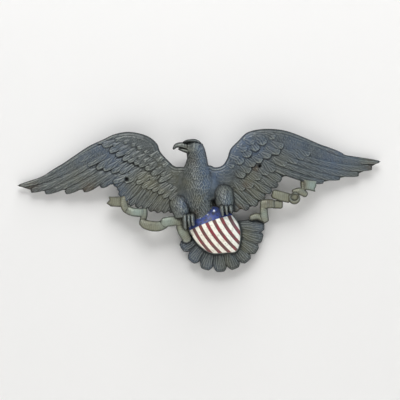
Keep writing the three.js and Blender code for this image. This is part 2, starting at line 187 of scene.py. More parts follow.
class Relief:
    """Front and back depths of the casting over the wall plane, grown stroke by stroke."""

    def __init__(self):
        self.xs = np.arange(GRID_LOW[0], GRID_HIGH[0], STEP)
        self.zs = np.arange(GRID_LOW[1], GRID_HIGH[1], STEP)
        self.x, self.z = np.meshgrid(self.xs, self.zs, indexing="ij")
        self.front = np.full(self.x.shape, -60.0)
        self.back = np.full(self.x.shape, 200.0)
        self.inside = np.full(self.x.shape, -1e3)
        self.marks = {}
        self.fields = {}
        self.random = np.random.RandomState(5)

    def window(self, points, margin):
        """The part of the grid that lies round some plan points."""
        p = np.atleast_2d(points)
        spans = []
        for axis, line in enumerate((self.xs, self.zs)):
            low, high = p[:, axis].min() - margin, p[:, axis].max() + margin
            spans.append(slice(*np.searchsorted(line, (low, high))))
        return tuple(spans)

    def mark(self, name, window, value):
        layer = self.marks.setdefault(name, np.zeros(self.x.shape, np.float32))
        layer[window] = value

    def lay(self, window, inside, front, back, over=1.2, skirt=3.0, fillet=0.3, draft=2.5, marks=()):
        """Adds one stroke. Its edge is rounded over and drops along a skirt. Marks are (name, value) where it shows."""
        depth_in = np.clip(inside / over, 0, 1)
        rounded = over * (1 - np.sqrt(1 - (1 - depth_in) ** 2))
        level = front - rounded + np.minimum(inside, 0) * skirt
        old = self.front[window]
        gap = np.maximum(fillet - np.abs(level - old), 0)
        shows = (level > old) & (inside > -0.35)
        self.front[window] = np.maximum(level, old) + gap * gap / (4 * fillet)
        self.back[window] = np.minimum(self.back[window], back + np.maximum(-inside, 0) * draft)
        self.inside[window] = np.maximum(self.inside[window], inside)
        for name, layer in self.marks.items():
            layer[window] = np.where(shows, 0, layer[window])
        for name, value in marks:
            layer = self.marks.setdefault(name, np.zeros(self.x.shape, np.float32))
            layer[window] = np.where(shows, value, layer[window])


def noise(relief, scale, seed, stretch=(1, 1), angle=0.0):
    """Smooth random field of the grid, about -1 to 1, with cells of the given size in millimetres."""
    rng = np.random.RandomState(seed)
    ca, sa = math.cos(angle), math.sin(angle)
    u = (relief.x * ca + relief.z * sa) / (scale * stretch[0])
    v = (-relief.x * sa + relief.z * ca) / (scale * stretch[1])
    u = u - u.min()
    v = v - v.min()
    table = rng.uniform(-1, 1, (int(u.max()) + 3, int(v.max()) + 3))
    i, j = u.astype(int), v.astype(int)
    a, b = u - i, v - j
    a, b = a * a * (3 - 2 * a), b * b * (3 - 2 * b)
    low = lerp(table[i, j], table[i + 1, j], a)
    high = lerp(table[i, j + 1], table[i + 1, j + 1], a)
    return lerp(low, high, b)


def blur(field, sigma, weight=None):
    """Gaussian blur of a grid field, counting only where weight is set. Sigma is in millimetres."""
    radius = max(1, int(math.ceil(2.5 * sigma / STEP)))
    kernel = np.exp(-0.5 * (np.arange(-radius, radius + 1) * STEP / sigma) ** 2)
    kernel /= kernel.sum()

    def spread(a):
        for axis in (0, 1):
            pad = [(0, 0), (0, 0)]
            pad[axis] = (radius, radius)
            padded = np.pad(a, pad, mode="edge")
            total = np.zeros_like(a)
            for k, share in enumerate(kernel):
                cut = [slice(None), slice(None)]
                cut[axis] = slice(k, k + a.shape[axis])
                total += share * padded[tuple(cut)]
            a = total
        return a

    if weight is None:
        return spread(field)
    return spread(field * weight) / np.maximum(spread(weight), 1e-6)


def plumage(across, down, point=0.55, rim=0.35):
    """Height, about 0 to 1, of small rimmed feathers that overlap like tiles. Both coordinates count feathers."""
    top = np.zeros(across.shape)
    for step in range(4):
        row = np.floor(2 * down) - step
        shift = np.where(row % 2 == 0, 0.0, 0.5)
        p = 2 * (across - shift - np.round(across - shift))
        q = (down - row / 2) / 1.45
        width = 0.95 * np.sqrt(np.clip(1 - (np.clip(q - point, 0, None) / (1 - point)) ** 2, 0, 1))
        edge = width - np.abs(p)
        height = 0.15 + 0.6 * q + rim * bump(edge - 0.08, 0.2) - 3.6 * np.clip(-edge, 0, None)
        top = np.maximum(top, np.where((q >= 0) & (q <= 1), height, 0))
    return top


def oval_cap(offset, half, past, cap):
    """(q, inside): q grows from 0 on the axis to 1 on the outline of a band with oval ends."""
    e = np.clip((past + cap) / cap, 0, None)
    q = np.sqrt((offset / half) ** 2 + e**2)
    radius = np.sqrt(offset**2 + (e * cap) ** 2)
    inside = np.where(q > 1e-3, radius / np.maximum(q, 1e-3) * (1 - q), half)
    return q, inside


# Wings: leading and trailing lines from the body outwards, flight feathers, and rows of feathers.
LEFT = dict(
    side=1,
    span=410,
    hem=(230, 205),
    root_x=-36,
    lead=[
        (-36, 47), (-66, 48), (-80, 49), (-93, 60), (-110, 79), (-117, 96), (-133, 110), (-155, 118),
        (-180, 121), (-207, 116), (-229, 106), (-260, 92), (-292, 71.5), (-324, 50), (-354, 32), (-379, 21),
        (-405, 12),
    ],
    trail=[
        (-36, -34), (-61, -34), (-87, -39), (-108, -43), (-127, -41), (-144, -33), (-163, -28), (-182, -12),
        (-199, 5), (-218, 19), (-239, 12), (-265, 2.5), (-294, -1), (-324, 0), (-356, -2), (-379, -1),
        (-403, 6),
    ],
    primaries=[
        ((-356, 27), (-250, 88), 4.5, 0),
        ((-409, 9), (-256, 70), 6, 8),
        ((-384, -3), (-248, 62), 8.5, 4),
        ((-354, -6), (-239, 49), 9, 2),
        ((-311, -6), (-222, 42), 9, 0),
        ((-273, -2), (-205, 40), 9, 0),
        ((-237, 7), (-197, 33), 8.5, 0),
        ((-219, 14), (-190, 36), 8, 0),
    ],
    secondaries=dict(
        count=12,
        half=(8.5, 9),
        tips=[
            (-208, 9), (-198, -4), (-195, -17), (-180, -30), (-163, -36), (-146, -39), (-129, -46),
            (-112, -47), (-95, -47), (-78, -44),
        ],
        roots=[
            (-174, 40), (-158, 34), (-148, 28), (-134, 22), (-120, 16), (-104, 12), (-88, 6), (-72, 2),
            (-56, 0), (-42, 0),
        ],
    ),
    coverts=[
        dict(
            count=9,
            half=(8, 8),
            tips=[
                (-282, 60), (-258, 51), (-240, 42), (-222, 40), (-203, 36), (-180, 32), (-163, 26), (-133, 23),
            ],
            roots=[
                (-236, 90), (-212, 80), (-200, 74), (-186, 61), (-178, 53), (-159, 48), (-142, 39), (-112, 36),
            ],
            reach=0.35,
        ),
        dict(
            count=9,
            half=(7.5, 7),
            tips=[(-207, 16), (-180, 18), (-155, 11), (-146, 4), (-131, 0), (-119, -7), (-106, -13), (-92, -20)],
            roots=[(-172, 34), (-150, 35), (-126, 29), (-116, 22), (-102, 18), (-92, 12), (-80, 6), (-68, -2)],
            reach=0.2,
        ),
        dict(
            count=10,
            half=(8, 7),
            tips=[
                (-231, 91), (-211, 78), (-195, 66), (-178, 59), (-163, 53), (-148, 46), (-133, 36), (-112, 17),
            ],
            roots=[
                (-203, 105), (-184, 92), (-168, 82), (-153, 74), (-140, 68), (-125, 60), (-110, 50), (-88, 33),
            ],
            reach=0.25,
        ),
        dict(
            count=11,
            half=(6.5, 6.5),
            tips=[(-243, 99), (-218, 95), (-198, 84), (-180, 74), (-162, 67), (-144, 58), (-126, 46), (-108, 31)],
            roots=[
                (-216, 110), (-194, 106), (-172, 97), (-155, 88), (-138, 81), (-122, 71), (-104, 59), (-88, 46),
            ],
        ),
        dict(
            count=9,
            half=(6, 6),
            tips=[(-224, 107), (-198, 103), (-176, 93), (-157, 85), (-140, 76), (-122, 63), (-106, 48)],
            roots=[(-196, 116), (-172, 113), (-154, 106), (-137, 98), (-122, 88), (-104, 77), (-90, 62)],
        ),
    ],
)

RIGHT = dict(
    side=-1,
    span=354,
    hem=(150, 130),
    root_x=-28,
    lead=[
        (-36, 51), (-7, 51), (4, 47), (19, 51), (29, 65), (36, 85), (52, 102), (70, 119), (95, 126),
        (123, 127), (152, 123), (184, 112), (227, 94), (269, 77), (311, 64), (346, 61),
    ],
    trail=[
        (-28, -34), (2, -34), (23, -36), (47, -39), (68, -36), (87, -29), (102, -16), (116, 0), (131, 16),
        (148, 28), (167, 26), (193, 20), (224, 16), (265, 25), (305, 34), (339, 52),
    ],
    primaries=[
        ((273, 74), (142, 115), 5.5, 0),
        ((350, 59), (138, 104), 7, 9),
        ((335, 45.5), (125, 93), 9.5, 9),
        ((307, 32), (121, 80), 9.5, 6),
        ((267, 24), (116, 68), 9.5, 4),
        ((232, 17), (112, 55), 9.5, 4),
    ],
    secondaries=dict(
        count=7,
        half=(9.5, 10),
        tips=[(142, 19), (133, 4), (116, -11), (99, -28), (78, -40), (53, -44)],
        roots=[(94, 50), (78, 38), (62, 28), (50, 16), (36, 2), (18, -10)],
    ),
    coverts=[
        dict(
            count=9,
            half=(10.5, 10.5),
            tips=[
                (201, 72), (189, 66), (175, 58), (152, 53), (129, 40), (116, 35), (101, 23), (84, 8), (64, 0),
            ],
            roots=[
                (160, 99), (150, 93), (135, 83), (123, 70), (102, 64), (91, 53), (76, 40), (55, 26), (41, 21),
            ],
        ),
        dict(
            count=7,
            half=(10.5, 10),
            tips=[(145, 90), (139, 79), (121, 69), (103, 60), (87, 50), (76, 37), (64, 28)],
            roots=[(112, 107), (106, 95), (93, 83), (79, 72), (66, 68), (54, 57), (42, 47)],
        ),
        dict(
            count=4,
            half=(10, 10),
            tips=[(108, 95), (93, 84), (78, 70), (60, 55)],
            roots=[(92, 113), (80, 99), (62, 85), (46, 72)],
        ),
        dict(
            count=6,
            half=(8.5, 8.5),
            tips=[(128, 108), (106, 105), (86, 97), (69, 84), (54, 68), (44, 50)],
            roots=[(104, 120), (80, 118), (60, 108), (46, 92), (34, 74), (26, 56)],
        ),
    ],
)


def wing_ground(wing, x, z):
    """Depth of the wing's front surface under its feathers."""
    lead = [(abs(a), b) for a, b in wing["lead"] if a * wing["side"] < 0]
    along = np.abs(x)
    chord = np.maximum(0, np.interp(along, *zip(*lead)) - z)
    outer = np.clip((along - WRIST_REACH) / (wing["span"] - WRIST_REACH), 0, 1)
    inner = np.clip(1 - along / WRIST_REACH, 0, 1)
    arch = TIP_DEPTH + (WRIST_DEPTH - TIP_DEPTH) * (1 + np.cos(np.pi * outer)) / 2
    return arch - ROOT_DIP * inner**2 - CHORD_FALL * chord


def lay_web(relief, wing):
    """Thin curved sheet under the feathers, with a rolled leading edge and small feathers on the shoulder."""
    side = wing["side"]
    window = relief.window(wing["lead"] + wing["trail"], 12)
    x, z = relief.x[window], relief.z[window]
    lead = Spine(wing["lead"])
    _, lead_offset, run, _ = lead.project(x, z)
    _, trail_offset, _, _ = Spine(wing["trail"]).project(x, z)
    hem = HEM * smoothstep(*wing["hem"], np.abs(x))
    behind, ahead = side * lead_offset, hem - side * trail_offset
    inside = np.minimum(np.minimum(behind, ahead), side * (wing["root_x"] - x))
    share = np.clip(behind / np.maximum(behind + ahead, 1), 0, 1)
    rise = np.interp(share, (0, 0.06, 0.18, 0.5, 1), (-3, 1.8, 2.4, -0.6, -2.8))
    ground = wing_ground(wing, x, z)
    wing["inside"] = np.full(relief.x.shape, -1e3)
    wing["inside"][window] = inside
    scales = plumage((run - 0.55 * behind) / 10.5, behind / 12.5, point=0.5)
    where = smoothstep(8, 12, behind)
    rim = 1.1 * bump(behind - 7.5, 1.5)
    front = ground + rise + 1.5 * where * (scales - 0.5) - rim
    relief.lay(window, inside, front, ground - 1 - WEB_THICKNESS, over=2.5, marks=[("wing", 1)])


def feather_inside(offset, half, along, length, shoulder, root_share, blunt=0.88):
    """Distance in from the outline of a feather: parallel at first, then a blunt oval tip."""
    start = shoulder * length
    width = half * lerp(root_share, 1, np.clip(along / start, 0, 1))
    cap = (length - start) / math.sqrt(blunt)
    ahead = np.clip(along - start, 0, None)
    q = np.sqrt((offset / half) ** 2 + (ahead / cap) ** 2)
    radius = np.sqrt(offset**2 + ahead**2)
    tip = np.where(q > 1e-3, radius / np.maximum(q, 1e-3) * (1 - q), half)
    end = length - along - 0.12 * offset**2 / half
    return np.where(along < start, width - np.abs(offset), np.minimum(tip, end)), width


def engraved(phase, width=0.26):
    """Evenly spaced cut lines: 1 between them and -1 in the cut, at whole numbers."""
    gap = phase - np.round(phase)
    return 1 - 2 * np.exp(-((gap / width) ** 2))


def vane(offset, width, along, length, wobble, barbs):
    """Fine relief on a feather: a shaft down the middle and slanting barbs on both sides."""
    height, spacing, slant, shaft = barbs
    line = along * math.sin(slant) - np.abs(offset) * math.cos(slant)
    fade = smoothstep(0.05, 0.18, np.abs(offset) / width) * smoothstep(0, 0.12, 1 - np.abs(offset) / width)
    rib = shaft * bump(offset, 1.0) * smoothstep(1.0, 0.75, along / length)
    return height * engraved(line / spacing + wobble) * fade + rib


def lay_feather(relief, wing, root, tip, half, build, bow=0.0):
    """One feather over the wing, laid like a roof tile: root low under its neighbours, tip raised."""
    side = wing["side"]
    a, b = np.array(root, float), np.array(tip, float)
    down = np.array([-(b - a)[1], (b - a)[0]])
    down *= bow * 2 * side / np.hypot(*down)
    spine = Spine.arc(a, lerp(a, b, 0.5) + down, b)
    window = relief.window(spine.line, half + 9)
    x, z = relief.x[window], relief.z[window]
    t, offset, along, past = spine.project(x, z)
    along = along + np.where(t > 0.5, np.maximum(past, 0), 0)
    inside, width = feather_inside(offset, half, along, spine.length, build["shoulder"], 0.82)
    inside = np.minimum(inside, np.where(t < 0.5, -past, 1e3))
    if build["clip"]:
        inside = np.minimum(inside, wing["inside"][window] - build["clip"])
    s = np.clip(offset / width, -1.2, 1.2)
    ground = wing_ground(wing, x, z)
    crown = build["crown"] * np.clip(1 - s * s, 0, 1) * lerp(1, 0.5, smoothstep(0.8, 1, t))
    fine = vane(offset, width, along, spine.length, relief.wobble[window], build["barbs"])
    tile = lerp(build["root"], build["lift"], t) - 3 * smoothstep(0.18, 0, t)
    front = ground + tile + crown + build["tilt"] * side * s + fine
    relief.lay(window, inside, front, ground - build["under"], over=1.0, marks=[("wing", 1)])


def feather_build(lift, root, under, barbs, crown=1.5, tilt=1.2, shoulder=0.7, clip=0.0):
    """How a kind of feather is made: heights at tip and root over the wing, crown, tilt, barbs and clipping."""
    return dict(
        lift=lift, root=root, under=under, barbs=barbs, crown=crown, tilt=tilt, shoulder=shoulder, clip=clip
    )


def lay_row(relief, wing, row, build, loose=0.0):
    """A row of feathers between its line of roots and its line of tips, a little uneven."""
    tips, roots = Spine(row["tips"]), Spine(row["roots"])
    for i in range(row["count"]):
        t = i / (row["count"] - 1)
        root, tip = roots.at(t), tips.at(t)
        root = root + (root - tip) * row.get("reach", 0)
        tip = tip + loose * relief.random.uniform(-1, 1, 2)
        half = lerp(*row["half"], t) * (1 + 0.06 * loose * relief.random.uniform(-1, 1))
        lift = build["lift"] + 0.2 * loose * relief.random.uniform(-1, 1)
        lay_feather(relief, wing, root, tip, half, {**build, "lift": lift})


def lay_wing(relief, wing):
    lay_web(relief, wing)
    for i, (tip, root, half, bow) in reversed(list(enumerate(wing["primaries"]))):
        lift = 0.1 * (2 - i)
        build = feather_build(lift, 0.3 * lift, QUILL_THICKNESS, PRIMARY_BARBS, crown=1.8)
        lay_feather(relief, wing, root, tip, half, build, bow)
    build = feather_build(0.3, -0.6, QUILL_THICKNESS, INNER_BARBS, crown=1.6)
    lay_row(relief, wing, wing["secondaries"], build)
    for i, row in enumerate(wing["coverts"]):
        lift = COVERT_LIFTS[min(i, len(COVERT_LIFTS) - 1)]
        build = feather_build(lift, lift - 4.2, COVERT_THICKNESS, COVERT_BARBS, shoulder=0.4, clip=3.0)
        lay_row(relief, wing, row, build, loose=1.5)


def lay_tail(relief):
    """Nine round-ended feathers spread from behind the shield, with a shaft, barbs and rings near the tip."""
    centre = np.array(TAIL_CENTRE, float)
    for i in range(TAIL_LOBES):
        angle = -math.radians(TAIL_PITCH * i + TAIL_OPENING * i * i)
        reach = TAIL_RADIUS - 6 * (i / (TAIL_LOBES - 1)) ** 6
        tip = centre + reach * np.array([math.cos(angle), math.sin(angle)])
        spine = Spine.arc(centre, (centre + tip) / 2, tip, samples=4)
        window = relief.window([tip, centre], 22)
        x, z = relief.x[window], relief.z[window]
        t, offset, along, past = spine.project(x, z)
        along = along + np.where(t > 0.5, np.maximum(past, 0), 0)
        inside, width = feather_inside(offset, TAIL_HALF_WIDTH, along, reach, 0.8, 1 / 3, 0.8)
        s = np.clip(offset / width, -1.2, 1.2)
        slope = lerp(TAIL_ROOT_DEPTH, TAIL_TIP_DEPTH, t)
        fine = vane(offset, width, along, reach, relief.wobble[window], TAIL_BARBS)
        ring = 0.9 * bump(inside - 4.6, 1.2) * smoothstep(0.7, 0.85, t)
        front = slope - 1 + (TAIL_CROWN + 1) * np.clip(1 - s * s, 0, 1) * lerp(1, 0.55, smoothstep(0.8, 1, t))
        front = front - 1.1 * s + fine - ring
        relief.lay(window, inside, front, TAIL_BACK + 0 * x, over=2.2, marks=[("tail", 1)])


def lay_limb(
    relief, spine, half, crest, edge, back, cap=(6, 6), fillet=3.0, fine=None, marks=(), over=0.8, swell=0.5,
    keep=False
):
    """Rounded limb with a domed front and oval ends, given by lists of values along it.

    With keep, it only swells what is already there and leaves the outline and the back alone.
    """
    curve = Spine(spine)
    widest = max(half)
    window = relief.window(curve.line, widest + 12)
    x, z = relief.x[window], relief.z[window]
    t, offset, along, past = curve.project(x, z)
    width = ramp(half)(t)
    cap_here = np.where(t < 0.5, cap[0], cap[1])
    q, inside = oval_cap(offset, width, past, cap_here)
    dome = np.clip(1 - q * q, 0, 1) ** swell
    low, high = ramp(edge)(t), ramp(crest)(t)
    front = low + (high - low) * dome
    if fine is not None:
        front = front + fine(t, offset, width, along, dome)
    behind = ramp(back)(t)
    if keep:
        inside = np.minimum(inside, relief.inside[window] - 1)
        behind = relief.back[window]
    relief.lay(window, inside, front, behind, over=over, fillet=fillet, skirt=6, marks=marks)


def neck_feathers(t, offset, width, along, dome):
    """Small pointed feathers that flow down the neck, longer towards the belly."""
    sway = 0.35 * np.sin(along / 9 + 3 * offset / width) + 0.25 * np.sin(along / 4.3 - offset / 5)
    across = lerp(4.2, 4.6, t) * np.arcsin(np.clip(offset / width, -1, 1)) / (np.pi / 2) + 0.5 * sway
    rows = 1 / 0.06 * np.log((7.5 + 0.06 * along) / 7.5) + 0.5 * np.sin(offset / 4.1 + along / 17)
    return lerp(2.6, 3.2, t) * (plumage(across, rows, point=0.3, rim=0.5) - 0.5) * smoothstep(0.02, 0.3, dome)


def thigh_feathers(t, offset, width, along, dome):
    """Long narrow feathers that hang down the thigh."""
    across = 3.6 * np.arcsin(np.clip(offset / width, -1, 1)) / (np.pi / 2) + 0.2 * np.sin(along / 7)
    rows = along / 15 + 0.2 + 0.2 * np.sin(offset / 3)
    return 3.0 * (plumage(across, rows, point=0.2, rim=0.5) - 0.5) * smoothstep(0.02, 0.3, dome)


def toe_scales(t, offset, width, along, dome):
    """Rings of scales over a toe, smooth on the claw."""
    rings = np.abs(np.sin(np.pi * along / 5.2))
    return 1.1 * (rings**0.6 - 0.6) * smoothstep(0.72, 0.6, t) * dome


def lay_body(relief):
    body = [("body", 1)]
    lay_limb(
        relief,
        spine=[(-33, 44), (-34, 20), (-31, -2), (-26, -30)],
        half=[40, 46, 50, 46],
        crest=[49, 54, 56, 52],
        edge=[34, 34, 32, 30],
        back=[20, 16, 14, 14],
        cap=(20, 10),
        fillet=6,
        swell=0.9,
        keep=True,
        marks=body,
    )
    lay_limb(
        relief,
        spine=[
            (-38, 97), (-37, 84), (-34, 68), (-34, 55), (-35, 38), (-34, 21), (-32, 0), (-30, -28), (-11, -74),
        ],
        half=[15, 19.5, 20.5, 23.5, 29, 32, 33, 32, 29],
        crest=[54, 60, 56, 55, 58, 62, 65, 60, 40],
        edge=[36, 34, 32, 32, 33, 34, 34, 28, 20],
        back=[24, 22, 18, 14, 8, 3, 2, 2, 2],
        cap=(2, 10),
        fine=neck_feathers,
        fillet=8,
        swell=0.7,
        marks=body,
    )
    thigh = dict(
        edge=[32, 34, 34, 32], back=[20, 12, 12, 14], fine=thigh_feathers, fillet=4, swell=0.65, marks=body
    )
    lay_limb(
        relief,
        spine=[(-75, -10), (-71, -26), (-66, -44), (-63, -58)],
        half=[16, 21, 19.5, 16],
        crest=[42, 52, 60, 59],
        cap=(14, 4),
        **thigh,
    )
    lay_limb(
        relief,
        spine=[(18, 12), (21, -6), (24, -26), (28, -46)],
        half=[14, 20, 19, 13],
        crest=[42, 53, 60, 59],
        cap=(14, 4),
        **thigh,
    )


def skull_feathers(t, offset, width, along, dome):
    return 0.9 * (plumage(offset / 4.5, along / 5.5, point=0.4) - 0.5) * smoothstep(0.1, 0.5, dome)


def lay_head(relief):
    """Skull, hooked beak with its lower part, and brow ridge; lay_face presses in the eye, nostril and gape."""
    head = [("body", 1)]
    horn = [("body", 1), ("beak", 1)]
    lay_limb(
        relief,
        spine=[(-27, 86), (-40, 88), (-57, 90)],
        half=[14, 16.5, 10],
        crest=[58, 64, 57],
        edge=[34, 36, 38],
        back=[24, 25, 30],
        cap=(8, 6),
        fillet=5,
        fine=skull_feathers,
        marks=head,
    )
    lay_limb(
        relief,
        spine=[(-50, 80), (-64, 83.5), (-73, 85.5)],
        half=[5.5, 3.6, 1.6],
        crest=[54, 51, 46],
        edge=[42, 41, 41],
        back=[32, 34, 36],
        cap=(3, 3),
        fillet=0.5,
        marks=horn,
    )
    lay_limb(
        relief,
        spine=[(-52, 90), (-67, 93), (-77, 92), (-82, 86), (-82.5, 83.5)],
        half=[8, 6, 4.5, 2.5, 0.9],
        crest=[58, 55.5, 52, 49, 46],
        edge=[43, 42, 42, 42, 42],
        back=[32, 34, 36, 38, 39],
        cap=(3, 1.5),
        fillet=0.5,
        marks=horn,
    )
    lay_limb(
        relief,
        spine=[(-63, 98.5), (-52, 101.5), (-38, 102), (-25, 97)],
        half=[1.6, 2.6, 3.2, 2.2],
        crest=[59, 66, 61, 52],
        edge=[50, 55, 50, 42],
        back=[40, 36, 34, 34],
        cap=(3, 8),
        fillet=3,
        marks=head,
    )


def dent(relief, centre, radius, depth, lean=0.0, ratio=1.0):
    """Presses a soft oval hollow into the front, or raises one where depth is negative."""
    window = relief.window([centre], radius * max(1, ratio) * 3)
    x, z = relief.x[window] - centre[0], relief.z[window] - centre[1]
    u = x * math.cos(lean) + z * math.sin(lean)
    v = -x * math.sin(lean) + z * math.cos(lean)
    relief.front[window] -= depth * np.exp(-((u / (radius * ratio)) ** 2) - (v / radius) ** 2)


def groove(relief, points, width, depth):
    """Presses a soft line into the front."""
    spine = Spine(points)
    window = relief.window(spine.line, 3 * width)
    x, z = relief.x[window], relief.z[window]
    t, offset, along, past = spine.project(x, z)
    gap = np.hypot(offset, np.maximum(past, 0))
    relief.front[window] -= depth * bump(gap, width)


def lay_face(relief):
    dent(relief, (-50, 91), 5.0, 3.2, ratio=1.5)  # socket
    dent(relief, (-51, 91.5), 2.3, -3.4)  # eye
    dent(relief, (-64.5, 92.5), 1.3, 2.0, lean=0.3, ratio=1.4)  # nostril
    groove(relief, [(-80, 86.5), (-71, 87.3), (-62, 86), (-53, 83)], 1.0, 2.6)  # gape
    groove(relief, [(-60, 99), (-59.5, 92), (-57, 86)], 0.9, 1.2)  # edge of the cere


def lay_feet(relief):
    """Each foot has three toes that bend over the shield's top corner, with a claw at the end."""
    feet = [(-59, -50, 7.5, 1.5, 31), (17, -32, 9, 2.5, 23)]
    for x, z, spread, lean, reach in feet:
        for toe in range(3):
            top = (x + spread * toe, z)
            end = (top[0] + lean + toe, z - reach + 3 * toe)
            lay_limb(
                relief,
                spine=[top, (top[0] + lean / 2, z - reach * 0.45), end],
                half=[4.2, 4.6, 2],
                crest=[66, 71, 60],
                edge=[54, 54, 50],
                back=[40, 38, 36],
                cap=(4, 3),
                fillet=0.8,
                fine=toe_scales,
                marks=[("body", 1), ("foot", 1)],
            )


SHIELD_OUTLINE = [
    (-50, -68), (-50, -85), (-36, -109), (-17, -126), (0, -133), (25, -132), (49, -128), (57, -104),
    (55, -76), (39, -50), (19, -38), (0, -34), (-17, -36), (-36, -51),
]

# Paint on the shield: the line under the blue field, the sweep of the stripes, and the stars
CHIEF_LINE = dict(x=-48.7, z=-84.7, slope=0.55, curl=-0.00213)
STRIPE_SWEEP = (0.45, 0.0050)
STRIPE_START = -43.8
STRIPE_PAIR = (12.5, 0.40)  # width of a red and a white stripe together, and how fast it grows
RED_SHARE = 0.47
STARS = [(-27.5, -57.2, 3.6, 1.0), (1.7, -43.4, 3.6, 1.0), (-11.6, -51.4, 3.4, 0.55), (-33.9, -46.6, 3.0, 0.3)]


def chief_height(x):
    w = x - CHIEF_LINE["x"]
    return CHIEF_LINE["z"] + CHIEF_LINE["slope"] * w + CHIEF_LINE["curl"] * w * w


def stripe_number(x, z):
    """Counts the stripes across the shield: whole numbers begin a red stripe, and its share is red."""
    foot = x.copy()
    for _ in range(12):
        drop = chief_height(foot) - z
        foot = x - (STRIPE_SWEEP[0] * drop + STRIPE_SWEEP[1] * np.abs(drop) * drop)
    run = foot - STRIPE_START
    pair, growth = STRIPE_PAIR
    return (-pair + np.sqrt(np.maximum(pair**2 + 4 * growth * run, 1))) / (2 * growth)


def star_inside(x, z, centre, radius, turn=0.3):
    """Distance in from the outline of a five-pointed star, in millimetres."""
    dx, dz = x - centre[0], z - centre[1]
    r = np.hypot(dx, dz)
    fifth = 2 * np.pi / 5
    a = np.abs((np.arctan2(dz, dx) + turn) % fifth - fifth / 2)
    notch = 0.42
    u = np.cos(a) * r
    v = np.sin(a) * r
    # Edge of one arm, from its point on the axis a = fifth / 2 to the notch on a = 0
    px, pz = radius * math.cos(fifth / 2), radius * math.sin(fifth / 2)
    nx, nz = radius * notch, 0.0
    ex, ez = px - nx, pz - nz
    return (ex * (v - nz) - ez * (u - nx)) / math.hypot(ex, ez)


def lay_shield(relief):
    """Swollen face over the tail, with faint flutes along the stripes and low stars."""
    outline = Spine(SHIELD_OUTLINE, closed=True)
    window = relief.window(outline.line, 14)
    x, z = relief.x[window], relief.z[window]
    middle = outline.line[:-1].mean(0)
    angle = np.arctan2(outline.line[:-1, 1] - middle[1], outline.line[:-1, 0] - middle[0])
    reach = np.hypot(*(outline.line[:-1] - middle).T)
    order = np.argsort(angle)
    here = np.arctan2(z - middle[1], x - middle[0])
    radius = np.interp(here, angle[order], reach[order], period=2 * np.pi)
    far = np.hypot(x - middle[0], z - middle[1])
    scale = far / radius
    gap = np.abs(radius - far) * 0.93
    inside = np.where(scale < 1, gap, -gap)
    dome = np.clip(1 - scale**2, 0, 1) ** 0.75
    front = SHIELD_EDGE_DEPTH + SHIELD_DOME * dome
    count = stripe_number(x, z)
    share = count - np.floor(count)
    edge = np.minimum(np.minimum(share, 1 - share), np.abs(share - RED_SHARE))
    below = chief_height(x) - z
    red = (share < RED_SHARE) & (count > 0)
    flute = smoothstep(0, 0.09, edge) * red * 0.7 * smoothstep(0, 1.5, below)
    star = np.zeros_like(x)
    for sx, sz, size, shine in STARS:
        star = np.maximum(star, shine * smoothstep(-0.3, 0.5, star_inside(x, z, (sx, sz), size)))
    front = front - flute + 0.5 * star + 0.5 * smoothstep(0.8, -0.8, below) * smoothstep(-6, -1, -np.abs(below))
    face = smoothstep(0.6, 1.6, inside)
    relief.lay(
        window,
        inside,
        front,
        SHIELD_BACK + 0 * x,
        over=2.6,
        skirt=6,
        marks=[("shield", face)],
    )
    for name, value in (("stripe", count), ("below", below), ("star", star)):
        layer = relief.fields.setdefault(name, np.zeros(relief.x.shape, np.float32))
        layer[window] = value


# Bands of the ribbon, lowest first: line, half width, depth of the front, and how rounded its ends are
RIBBON_BANDS = [
    dict(spine=[(-187, -12), (-187, -28), (-182, -40), (-170, -47)], half=[7, 8, 8.5, 8], front=[26, 28, 28, 27]),
    dict(spine=[(-180, -40), (-168, -46), (-147, -48)], half=[8, 9, 9], front=[29, 32, 31], ends=(3, 2)),
    dict(spine=[(-144, -38), (-145, -53), (-149, -71)], half=[6, 7.5, 6], front=[28, 29, 27], ends=(2, 4)),
    dict(
        spine=[(-153, -64), (-142, -72), (-125, -76), (-110, -75), (-95, -66)],
        half=[6, 10, 11, 10.5, 9],
        front=[29, 31, 33, 32, 29],
        ends=(5, 5),
    ),
    dict(spine=[(-109, -68), (-91, -66), (-57, -62)], half=[9, 10.5, 9], front=[33, 36, 38], ends=(6, 2)),
    dict(spine=[(-66, -62), (-63, -86), (-51, -108)], half=[13, 12, 8], front=[33, 34, 30], ends=(2, 6)),
    dict(
        spine=[(76, -60), (91, -55), (104, -59), (112, -68)], half=[5.5, 7, 7.5, 5], front=[27, 27, 26, 24],
        ends=(5, 3),
    ),
    dict(spine=[(107, -24), (106, -45), (111, -68)], half=[7.5, 8.5, 6.5], front=[28, 31, 28], ends=(2, 5)),
    dict(spine=[(124, -30), (146, -31)], half=[8.8, 8.6], front=[28, 29], ends=(3, 5)),
    dict(spine=[(98, -31), (112, -29), (128, -29)], half=[9, 10, 9], front=[30, 33, 31], ends=(7, 4)),
    dict(spine=[(123, -7), (142, -13), (162, -18)], half=[9.5, 10.5, 10], front=[29, 32, 30], ends=(6, 3)),
    dict(spine=[(166, -6), (182, -3), (197, -12)], half=[6.5, 8, 6], front=[29, 31, 29], ends=(3, 5)),
    dict(spine=[(188, 20), (189, -4)], half=[5.5, 5], front=[27, 29], ends=(2, 3)),
]

RIBBON_ENDS = [
    dict(outline=[(-190, -14), (-219, -14), (-217, -21), (-224, -28), (-214, -35), (-190, -36)], front=28),
    dict(outline=[(190, 22), (216, 18), (216, 8), (213, 2), (214, -4), (202, -1), (190, 0)], front=31),
]


